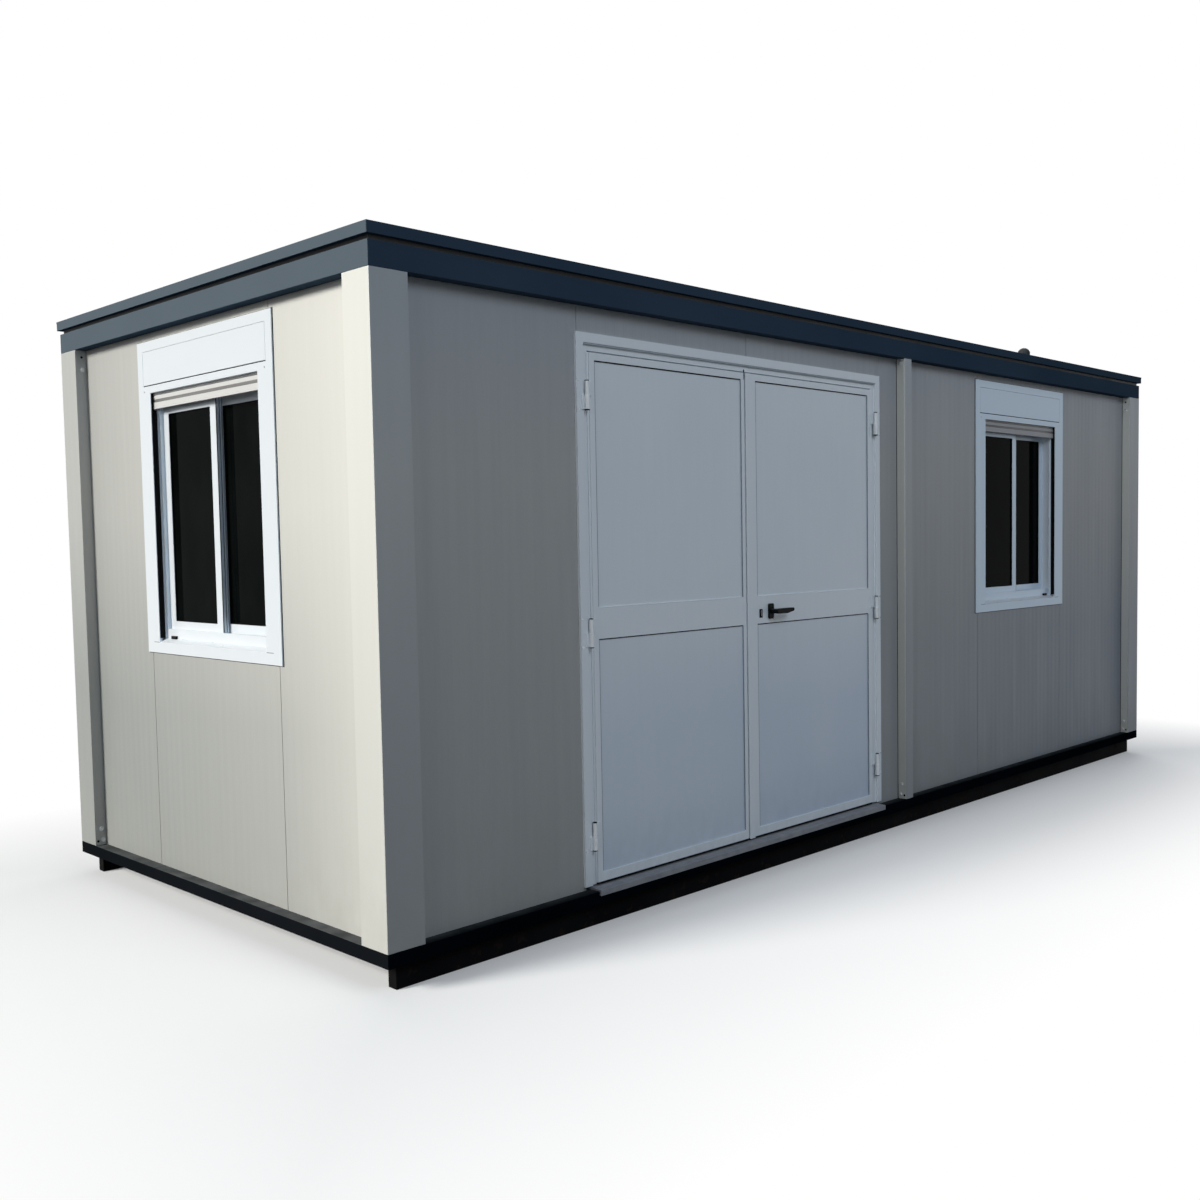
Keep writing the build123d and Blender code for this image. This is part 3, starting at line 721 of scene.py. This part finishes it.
# %% Heads of the fixings
def step_up(direction, steps):
    """Inset and extrude the faces that look in a direction, step by step; a step is (inset, rise)."""

    def rising():
        pick("FACE", lambda place, normal: normal.dot(direction) > 0.9)
        for inset, rise in steps:
            bpy.ops.mesh.inset(thickness=inset)
            bpy.ops.mesh.extrude_region_move(TRANSFORM_OT_translate={"value": direction * rise})

    shaped(rising)


def stepped_head(name, corners, radius, height, steps):
    """A standing cylinder with a stepped top."""
    middle = (0, 0, height / 2)
    bpy.ops.object.select_all(action="DESELECT")
    bpy.ops.mesh.primitive_cylinder_add(vertices=corners, radius=radius, depth=height, location=middle)
    head = settled(name)
    step_up(Vector((0, 0, 1)), steps)
    return head


head_shapes = {
    "post_bolt": (14, 0.0105, 0.002, ((0.0025, 0.0055), (0.0018, 0.0006))),
    "small_screw": (12, 0.0040, 0.001, ((0.0008, 0.0007), (0.0012, -0.0008))),
    "roof_screw": (12, 0.0095, 0.002, ((0.0035, 0.0045), (0.0012, 0.0005))),
    "pin_cap": (20, 0.0084, 0.0034, ((0.0018, 0.0008),)),
    "pin_foot": (20, 0.0104, 0.0032, ((0.0022, 0.0008),)),
    "leaf_sleeve": (24, 0.0088, 0.0508, ((0.0010, 0.0008),)),
    "pin_sleeve": (24, 0.0114, 0.0508, ((0.0010, 0.0008),)),
    "lock_plug": (20, 0.0060, 0.0006, ((0.0010, 0.0003),)),
    "drilled_hole": (12, 0.0055, 0.0006, ((0.0014, -0.0005),)),
}
masters = {name: stepped_head(name, *shape) for name, shape in head_shapes.items()}
print("modelled", {name: len(master.data.polygons) for name, master in masters.items()})

# %% [markdown]
# Each post is bolted to the beams through its folded returns, once under the roof and once above
# the base, with a third bolt and an open drainage hole at its foot. The middle posts have their
# upper bolt close under the beam; on the corner posts it sits a little lower, with a second drilled
# hole above it. The holes are shallow black discs: the black is painted shade. The returns look along
# the wall, so these heads are turned to the left or to the right instead of outwards. One return is
# folded tight against the panels, and the other, on the post's left, closes on a black seal, which
# also paints the shade in that corner.

# %% Bolts in the posts' returns
lower_bolt, hole_height = floor_level + 0.073, floor_level + 0.018
middle_bolt, corner_bolt, corner_hole = eaves - 0.021, eaves - 0.085, eaves - 0.030
return_middle, foot_bolt_out, hole_out = 0.022, 0.016, 0.038
mid_low, mid_high = (corner.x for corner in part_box("mid_posts"))
return_places = {
    "front": (post_inner, mid_low, mid_high, -post_inner),
    "rear": (post_inner, -mid_high, -mid_low, -post_inner),
    "left": (end_inner, -end_inner),
    "right": (end_inner, -end_inner),
}
for wall_name, places in return_places.items():
    wall = walls[wall_name]
    returns = list(zip(places, ("right", "left") * 2))
    corners, middles = (returns[0], returns[-1]), returns[1:-1]
    rows = [(lower_bolt, return_middle, returns), (corner_bolt, return_middle, corners)]
    rows += [(middle_bolt, return_middle, middles), (hole_height + 0.004, foot_bolt_out, returns)]
    bolts = [wall.facing(along, up, out, way) for up, out, row in rows for along, way in row]
    copies("post_bolt", f"{wall_name}_post_bolts", bolts, "galvanised")
    # painted shade: each hole is a shallow black disc
    rows = [(hole_height, hole_out, returns), (corner_hole, return_middle, corners)]
    holes = [wall.facing(along, up, out, way) for up, out, row in rows for along, way in row]
    copies("drilled_hole", f"{wall_name}_post_holes", holes, "black_plastic")
    for number, (along, way) in enumerate(returns[1::2], 1):
        # the black seal is also painted shade in the post's corner
        sides = ((along - 0.0022, along), (wall_foot, wall_head), (0.0009, 0.0035))
        strip(f"{wall_name}_post_seal_and_shade_{number}", wall, *sides, 0.0008, "rubber")

# %% [markdown]
# ## Door hardware
# A lift-off hinge is two knuckles on a pin. A bright sleeve covers each knuckle: the upper one
# turns with the leaf, under a dark cap, and the lower one stays on the frame, with the pin's foot
# below it. Two small screws beside each hinge hold the frame to the panels.

# %% Hinge sleeves, caps and frame screws
front = walls["front"]
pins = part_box("door_hinge_pins")
wing = 0.0225
hinge_x = (pins[0].x + wing, pins[1].x - wing)
hinge_out = 0.020
hinge_splits = (0.344, 1.116, 2.002)
knuckle = 0.052


def on_pins(places, lift, turn=Matrix()):
    """Three places on each pin, each a lift above the split between a hinge's knuckles."""
    points = [front.point(x, split + lift, hinge_out) for x in places for split in hinge_splits]
    return [Matrix.Translation(point) @ turn for point in points]


for x, leaf in zip(hinge_x, ("left", "right")):
    copies("leaf_sleeve", f"{leaf}_hinge_sleeves", on_pins((x,), 0.0004), "turned_zinc", f"{leaf}_leaf")
    copies("pin_cap", f"{leaf}_hinge_caps", on_pins((x,), knuckle), "black_plastic", f"{leaf}_leaf")
copies("pin_sleeve", "hinge_pin_sleeves", on_pins(hinge_x, 0.0002 - knuckle), "turned_zinc")
turned_down = Matrix.Rotation(math.pi, 4, "X")
copies("pin_foot", "hinge_pin_feet", on_pins(hinge_x, -knuckle, turned_down), "black_plastic")
flange_out = -door_flange[0].y - front.face
screw_x = (door_flange[0].x + 0.007, door_flange[1].x - 0.007)
screw_heights = [split + lift for split in hinge_splits for lift in (-knuckle, knuckle)]
frame_screws = [front.facing(x, up, flange_out) for x in screw_x for up in screw_heights]
copies("small_screw", "door_frame_screws", frame_screws, "galvanised")

# %% [markdown]
# Each leaf's sheets sit five millimetres back between the tubes. A black seal closes their upper
# edges, where it shows as a dark line, grey sealant runs down their sides, and a bead of paint
# along the rail's upper edge catches the light. The strips are blocks with rounded edges; the
# heights come from the CAD sheets themselves.


# %% Seals and beads of the leaves
infill_out = -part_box("left_leaf_infill")[0].y - front.face
for leaf in ("left", "right"):
    body = f"{leaf}_leaf"
    low, high = (corner.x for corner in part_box(f"{leaf}_leaf_infill"))
    foot, rail_foot, rail_head, head = levels(f"{leaf}_leaf_infill", 2)
    for place, top in (("upper", head), ("lower", rail_foot)):
        up, out = (top - 0.0042, top - 0.0002), (infill_out, infill_out + 0.003)
        strip(f"{leaf}_{place}_seal", front, (low + 0.002, high - 0.002), up, out, 0.0008, "rubber", body)
    for place, start, end in (("upper", rail_head, head), ("lower", foot, rail_foot)):
        up, out = (start + 0.005, end - 0.005), (infill_out, infill_out + 0.0046)
        for hand, along in (("left", (low, low + 0.0032)), ("right", (high - 0.0015, high))):
            strip(f"{leaf}_{place}_{hand}_sealant", front, along, up, out, 0.0006, "sealant", body)
    sides = ((low + 0.001, high - 0.001), (rail_head, rail_head + 0.005), (infill_out, infill_out + 0.0042))
    strip(f"{leaf}_rail_bead", front, *sides, 0.0018, "door_white", body)

# %% [markdown]
# Each leaf's hinged edge meets a painted lip on the frame. Soft grey seals close the gaps at the
# hinged edges, over the head and where the leaves meet, and black brushes sweep the threshold.
# Those that sit on a leaf ride with it.

# %% Seals round the leaves
door_middle = (door_flange[0].x + door_flange[1].x) / 2
leaf_up = leaf_foot, leaf_head = 0.1605, 2.1635
for leaf, side, brush in (("left", -1, (-0.943, -0.0275)), ("right", 1, (-0.017, 0.943))):
    edge, lip = beside(door_middle, side, 0.9455, 0.9485), beside(door_middle, side, 0.9456, 0.9560)
    sweep = [door_middle + along for along in brush]
    body, brush_up = f"{leaf}_leaf", (0.1512, leaf_foot)
    strip(f"{leaf}_edge_seal", front, edge, leaf_up, (-0.0060, 0.0034), 0.0008, "grey_rubber", body)
    strip(f"{leaf}_frame_lip", front, lip, leaf_up, (0.0041, 0.0070), 0.0012, "door_white")
    strip(f"{leaf}_bottom_brush", front, sweep, brush_up, (-0.0020, 0.0066), 0.0012, "rubber", body)
for name, near, far, up, out, radius, finish, body in (
    ("meeting_seal", -0.0254, -0.0210, leaf_up, (-0.0120, 0.0068), 0.0008, "grey_rubber", "left_leaf"),
    ("meeting_stop", -0.0275, -0.0230, (leaf_head - 0.0275, leaf_head), (0.0002, 0.0086), 0.0006,
     "rubber", "left_leaf"),
    ("head_stop", -0.0245, -0.0205, (leaf_head + 0.002, leaf_head + 0.0145), (0.0042, 0.0072), 0.0006,
     "rubber", "cabin"),
    ("head_seal", -0.977, 0.977, (leaf_head + 0.027, leaf_head + 0.0333), (0.0042, 0.0118), 0.0012,
     "grey_rubber", "cabin"),
):
    strip(name, front, (door_middle + near, door_middle + far), up, out, radius, finish, body)

# %% [markdown]
# ## Lock
# The lock's cylinder comes through the right leaf beside the lever. A thin black rose frames it, and
# also paints the shade round the cylinder; a turned plug with a slot for the key shows at its upper
# end, and the slot's black is painted shade.

# %% Lock
lock_low, lock_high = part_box("lock_cylinder")
lock_x = (lock_low.x + lock_high.x) / 2
lock_out, plug_height = -lock_low.y - front.face, lock_high.z - 0.0085
# the black rose is also painted shade round the cylinder
sides = (about(lock_x, 0.0105), (lock_low.z - 0.0025, lock_high.z + 0.0025), (0.0080, 0.0102))
strip("lock_rose_and_shade", front, *sides, 0.0010, "black_plastic", "right_leaf")
plug_place = front.facing(lock_x, plug_height, lock_out)
copies("lock_plug", "lock_plug_face", [plug_place], "threshold_metal", "right_leaf")
sides = (about(lock_x, 0.0034), (lock_low.z + 0.0045, plug_height - 0.006), (lock_out, lock_out + 0.0006))
strip("lock_web", front, *sides, 0.0003, "threshold_metal", "right_leaf")
# painted shade: a black strip for the key's slot
sides = (about(lock_x, 0.0008), about(plug_height, 0.0035), (lock_out + 0.0005, lock_out + 0.0013))
strip("key_slot_shade", front, *sides, 0.0003, "rubber", "right_leaf")

# %% [markdown]
# ## Threshold
# The aluminium threshold has a row of low grip ribs and a rubber wiper behind them, on which the
# leaves' lower edge closes.

# %% Grip ribs and wiper
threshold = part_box("door_threshold")
threshold_ends = (threshold[0].x + 0.004, threshold[1].x - 0.004)
rib_start, rib_pitch, rib_fall, rib_width = 0.018, 0.010, 0.0006, 0.0035
for number in range(4):
    out = rib_start + rib_pitch * number
    top = threshold[1].z - rib_fall * (number + 1)
    sides = (threshold_ends, (top - 0.002, top + 0.0012), (out, out + rib_width))
    strip(f"threshold_rib_{number + 1}", front, *sides, 0.0012, "threshold_metal")
sides = (threshold_ends, (threshold[1].z - 0.001, threshold[1].z + 0.007), (-0.030, -0.024))
strip("threshold_wiper", front, *sides, 0.002, "rubber")

# %% [markdown]
# ## Window details
# Both windows are the same: the left sash runs in front of the right one. Each pane is set in a
# black rubber channel, which also paints the dark reflection along the pane's edges. The front sash's
# free edge carries the interlock, white ribs with a dark brush before each. Black brushes line the
# shutter's guides, with a thin black lip in front of them that paints the shade on the reveal, a
# black seal runs round the whole cover and also paints the shade along its edges, a small hood
# covers the drain in the frame's foot, and screws hold the shutter's plate. Dark strips in the
# grooves between the slats are painted shade.

# %% Pieces of a window
ring_thickness = 0.0025
plate_seam = 2.1210


def rubber_ring(name, wall, along, up, out, thickness):
    """A rubber channel round something: a block without its front and back, given a thickness."""
    ring = block(name, wall, along, up, out)

    def open_ends():
        pick("FACE", lambda place, normal: abs(normal.dot(wall.outwards)) > 0.9)
        bpy.ops.mesh.delete(type="FACE")

    shaped(open_ends)
    modified(ring, "SOLIDIFY", thickness=thickness, offset=-1.0)
    modified(ring, "BEVEL", width=0.0006, segments=2, limit_method="ANGLE")
    return finished(ring, "rubber")


def pane_seals(place, wall, centre):
    up = levels(f"{place}_window_glass", 2)
    pane_step, pane_half = 0.195, 0.1725
    for layer, side, face in (("front", -1, -0.0395), ("rear", 1, -0.0675)):
        # the black channel is a real seal and also a painted reflection: the dark band along the pane's
        # edges
        sides = (about(centre + side * pane_step, pane_half), up, (face - 0.0065, face))
        rubber_ring(f"{place}_{layer}_pane_seal", wall, *sides, ring_thickness)


def interlock(place, wall, centre):
    """Two brushes and two white ribs on the free edge of the front sash."""
    edge, up = (centre + 0.0220, centre + 0.0255), (1.131, 2.047)
    for name, out, finish in (
        ("front_brush", (-0.0415, -0.0385), "rubber"),
        ("front_rib", (-0.0515, -0.0415), "window_white"),
        ("rear_brush", (-0.0540, -0.0515), "rubber"),
        ("rear_rib", (-0.0615, -0.0540), "window_white"),
    ):
        strip(f"{place}_interlock_{name}", wall, edge, up, out, 0.0008, finish)


def drain_hood(place, wall, along):
    hood = block(f"{place}_drain_hood", wall, about(along, 0.022), (1.0905, 1.1035), (-0.024, -0.018))
    step_up(wall.outwards, ((0.003, 0.002),))
    finished(hood, "black_plastic")


def shutter_guides(place, wall, centre):
    """The mouth, brush and lip of each guide, and the seam at each lower corner of the cover."""
    for side, hand in ((-1, "left"), (1, "right")):
        for name, near, far, up, out, radius, finish in (
            ("guide_mouth", 0.4225, 0.4400, (2.0755, 2.0885), (-0.0175, -0.0032), 0.001, "black_plastic"),
            ("guide_brush", 0.4235, 0.4410, (1.0935, 2.0220), (-0.0170, -0.0040), 0.001, "rubber"),
            # painted shade: the thin black lip darkens the reveal in front of each guide
            ("guide_shade_lip", 0.4213, 0.4240, (1.0935, 2.0895), (-0.0030, 0.0055), 0.0008, "rubber"),
            ("corner_seam", 0.4230, 0.4720, (1.0762, 1.0780), (0.0076, 0.0084), 0.0003, "rubber"),
        ):
            along = beside(centre, side, near, far)
            strip(f"{place}_{name}_{hand}", wall, along, up, out, radius, finish)


def window_details(place, wall, hood_side):
    """Everything added to one window; the drain hood is on its right (1) or its left (-1)."""
    low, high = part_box(f"{place}_window_cover")
    along = sorted((low.dot(wall.right), high.dot(wall.right)))
    centre = sum(along) / 2
    pane_seals(place, wall, centre)
    interlock(place, wall, centre)
    drain_hood(place, wall, centre + hood_side * 0.352)
    # the black seal round the cover is also painted shade along the cover's edges
    ring = ((along[0] - 0.0025, along[1] + 0.0025), (low.z - 0.0025, high.z + 0.0025), (0.0, 0.0030))
    rubber_ring(f"{place}_cover_seal_and_shade", wall, *ring, ring_thickness)
    # painted shade: a dark strip in each groove between the slats
    for number, up in enumerate(((2.0522, 2.0638), (2.0802, 2.0828)), 1):
        groove = (about(centre, 0.4395), up, (-0.0080, -0.0074))
        strip(f"{place}_slat_groove_shade_{number}", wall, *groove, 0.0002, "slat_joint")
    groove = (about(centre, 0.4805), about(plate_seam, 0.0018), (0.0030, 0.0040))
    strip(f"{place}_plate_groove", wall, *groove, 0.0003, "rubber")
    shutter_guides(place, wall, centre)
    plate_screws = [wall.facing(x, plate_seam, 0.0035) for x in about(centre, 0.4815)]
    cover_screws = [wall.facing(x, 2.0985, 0.008) for x in about(centre, 0.474)]
    copies("small_screw", f"{place}_plate_screws", plate_screws, "black_plastic")
    copies("small_screw", f"{place}_cover_screws", cover_screws, "galvanised")


window_details("front", front, 1)
window_details("end", walls["left"], -1)

# %% [markdown]
# ## Roof
# The roof is hidden from the ground but open to every other view. It is made of coated sheets laid
# side by side across the cabin, each with three narrow ribs, screwed down through the crests with
# rubber washers. The same rib tool makes them, with a wider pitch and steeper ribs.

# %% Roof sheets and their screws
roof_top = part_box("roof_panel")[1].z + 0.0009
roof_rib = (0.278, 0.014, 0.030, 0.018)
rim, rim_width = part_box("roof_rim_trim"), 0.092
roof_low, roof_high = rim[0].x + rim_width, rim[1].x - rim_width
roof_edge = -rim[0].y - rim_width
sheet_count, sheet_gap = 7, 0.0008
sheet_width = (roof_high - roof_low) / sheet_count
crest_screws = []
for number in range(sheet_count):
    low = roof_low + number * sheet_width
    corner = (low + sheet_gap, -roof_edge, roof_top)
    across, along = (sheet_width - 2 * sheet_gap, 0, 0), (0, 2 * roof_edge, 0)
    roof_sheet = ribbed_sheet(f"roof_sheet_{number + 1}", corner, across, along, roof_rib, sheet_thickness)
    finished(roof_sheet, "roof_sheet")
    for rib in range(3):
        crest = low + rib * sheet_width / 3 + roof_rib[1] + roof_rib[2] / 2
        for y in (-roof_edge + 0.06, -0.36, 0.36, roof_edge - 0.06):
            crest_screws.append(Matrix.Translation((crest, y, roof_top + roof_rib[3])))
copies("roof_screw", "roof_screws", crest_screws, "galvanised")

# %% [markdown]
# ## Vent
# The vent's pipe goes through a rubber boot, clamped to the roof with a ring of screws. The boot is
# a disc whose top is inset and drawn up in two steps, like the fixings.

# %% Vent boot
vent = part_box("roof_vent")
vent_at = Matrix.Translation(((vent[0].x + vent[1].x) / 2, (vent[0].y + vent[1].y) / 2, roof_top))
boot_radius, boot_edge, ring_radius, screw_count = 0.068, 0.004, 0.060, 8
boot = stepped_head("vent_boot", 40, boot_radius, boot_edge, ((0.018, 0.006), (0.010, 0.012)))
boot.data.transform(vent_at)
finished(boot, "rubber")
outwards = Matrix.Translation((ring_radius, 0, boot_edge))
turns = [Matrix.Rotation(math.tau * turn / screw_count, 4, "Z") for turn in range(screw_count)]
copies("small_screw", "vent_boot_screws", [vent_at @ turn @ outwards for turn in turns], "galvanised")

# %% [markdown]
# The master heads have done their work. Left where they are, they would show as loose heads at
# the origin, so they are removed; the copies have meshes of their own and stay.

# %% Put the masters away
for master in masters.values():
    bpy.data.objects.remove(master)
print("removed the", len(masters), "masters")

# %% [markdown]
# ## Light, floor and camera
# One large soft lamp stands off the window end, a little behind and above, so that end is bright and
# the door side rests in its shade. Sunny ground throws a little of that light back, low and from the
# same end, along the door side. A wide, cooler panel high in front of the door lights the shade
# from above, so that ledges and grooves read, and a back lamp lights the sides that face away. The
# sky adds a little blue from everywhere. The floor is white: near the cabin it keeps the shadow,
# and further out it fades into a white that the camera, mirrors and glass see as 1, so no horizon
# shows.


# %% Lamps
def lamp(name, kind, place, aim, energy, colour=(1, 1, 1), **settings):
    """A lamp at its place, turned to its aim."""
    bpy.ops.object.light_add(type=kind, location=place)
    light = bpy.context.active_object
    light.name = name
    light.rotation_euler = (Vector(place) - Vector(aim)).to_track_quat("Z", "Y").to_euler()
    light.data.energy, light.data.color = energy, colour
    for setting, value in settings.items():
        setattr(light.data, setting, value)
    print(name, energy)


middle = (0, 0, 0)
lamp("key light", "SUN", (-8.44, 2.58, 4.69), middle, 3.65, (1.0, 0.985, 0.94), angle=math.radians(19))
lamp("ground bounce", "SUN", (-9.3, -2.8, 2.2), middle, 0.26, angle=math.radians(30))
wide = {"shape": "RECTANGLE", "size": 6.0, "size_y": 5.0}
lamp("sky panel", "AREA", (-2.0, -10.2, 8.3), (-1.06, -1.14, 1.2), 290, (0.76, 0.87, 1.0), **wide)
lamp("back lamp", "AREA", (10.0, 3.5, 6.0), (2.95, 0.5, 1.2), 450, **wide)

# %% [markdown]
# The sky is a plain colour, weak enough to keep the shade blue and soft. Rays that come straight
# from the camera, or by a mirror or glass, get white instead; a switch on the kind of ray does that
# without a picture of a sky.

# %% Sky
world = bpy.data.worlds.new("studio")
bpy.context.scene.world = world
world.use_nodes = True
sky = world.node_tree
fill = sky.nodes["Background"]
fill.inputs["Color"].default_value = (0.62, 0.80, 1.0, 1)
fill.inputs["Strength"].default_value = 0.14


def seen_rays(tree):
    """1 for rays that come straight, or by mirror or glass, from the camera."""
    total = new_node(tree, "LightPath", out="Is Camera Ray")
    rays = total.socket.node.outputs
    for name in ("Is Glossy Ray", "Is Transmission Ray"):
        total = total.sum("MAXIMUM", total, Wire(tree, rays[name]))
    return total


seen = new_node(sky, "Background", {"Color": (1, 1, 1, 1), "Strength": 1.0})
switch = new_node(sky, "MixShader", {0: seen_rays(sky), 1: Wire(sky, fill.outputs[0]), 2: seen})
plug(sky, switch, sky.nodes["World Output"].inputs["Surface"])
print("sky fill", round(fill.inputs["Strength"].default_value, 3))

# %% [markdown]
# The floor is one wide plane just under the skids. Close to the cabin it is a matt white that
# catches the shadow, and with distance it is mixed into a white that shines by itself, which hides
# its edge. It is staged, so it belongs to the picture and not to the part.

# %% Floor
floor_width, below_skids = 120, 0.0005
bpy.ops.object.select_all(action="DESELECT")
bpy.ops.mesh.primitive_plane_add(size=floor_width, location=(0, 0, -below_skids))
floor = settled("studio_floor")
ground = Finish("studio floor", {"Roughness": 0.9, "Specular IOR Level": 0.0})
shown = seen_rays(ground.tree)
plug(ground.tree, ground.mix(shown, (0.08,) * 3, (0.92,) * 3), ground.shader.inputs["Base Color"])
away_x = ground.node("Math", {0: ground.axis("X")}, operation="ABSOLUTE") - 3.0
away_y = ground.node("Math", {0: ground.axis("Y")}, operation="ABSOLUTE") - 1.2
far = ground.between(away_x.sum("MAXIMUM", away_x, away_y), -0.4, 1.5)
white = ground.node("Emission", {"Color": (1, 1, 1, 1), "Strength": 1.0})
lit = Wire(ground.tree, ground.shader.outputs[0])
faded = ground.node("MixShader", {0: shown * far, 1: lit, 2: white})
plug(ground.tree, faded, ground.tree.nodes["Material Output"].inputs["Surface"])
floor.data.materials.append(ground.material)
print("floor", floor_width, "m wide")

# %% [markdown]
# The photograph was taken at about eye height, a few steps off the near corner. Place, turn and
# lens come from a fit of the cabin's edges in it, and the shift says that the picture was cropped
# off its middle. The Standard view keeps the colours as they are measured.

# %% Camera
bpy.ops.object.camera_add(location=(-5.280, -4.501, 1.462))
camera = bpy.context.active_object
camera.name = "viewpoint"
heading, pitch, roll = (math.radians(angle) for angle in (-45.9, 90 - 3.37, -0.98))
turned = Matrix.Rotation(heading, 3, "Z") @ Matrix.Rotation(pitch, 3, "X") @ Matrix.Rotation(roll, 3, "Z")
camera.rotation_euler = turned.to_euler()
camera.data.lens = 37.36
camera.data.sensor_width = 36
camera.data.shift_x, camera.data.shift_y = -0.0231, 0.0113
bpy.context.scene.camera = camera
bpy.context.scene.view_settings.view_transform = "Standard"
print("camera lens", camera.data.lens)
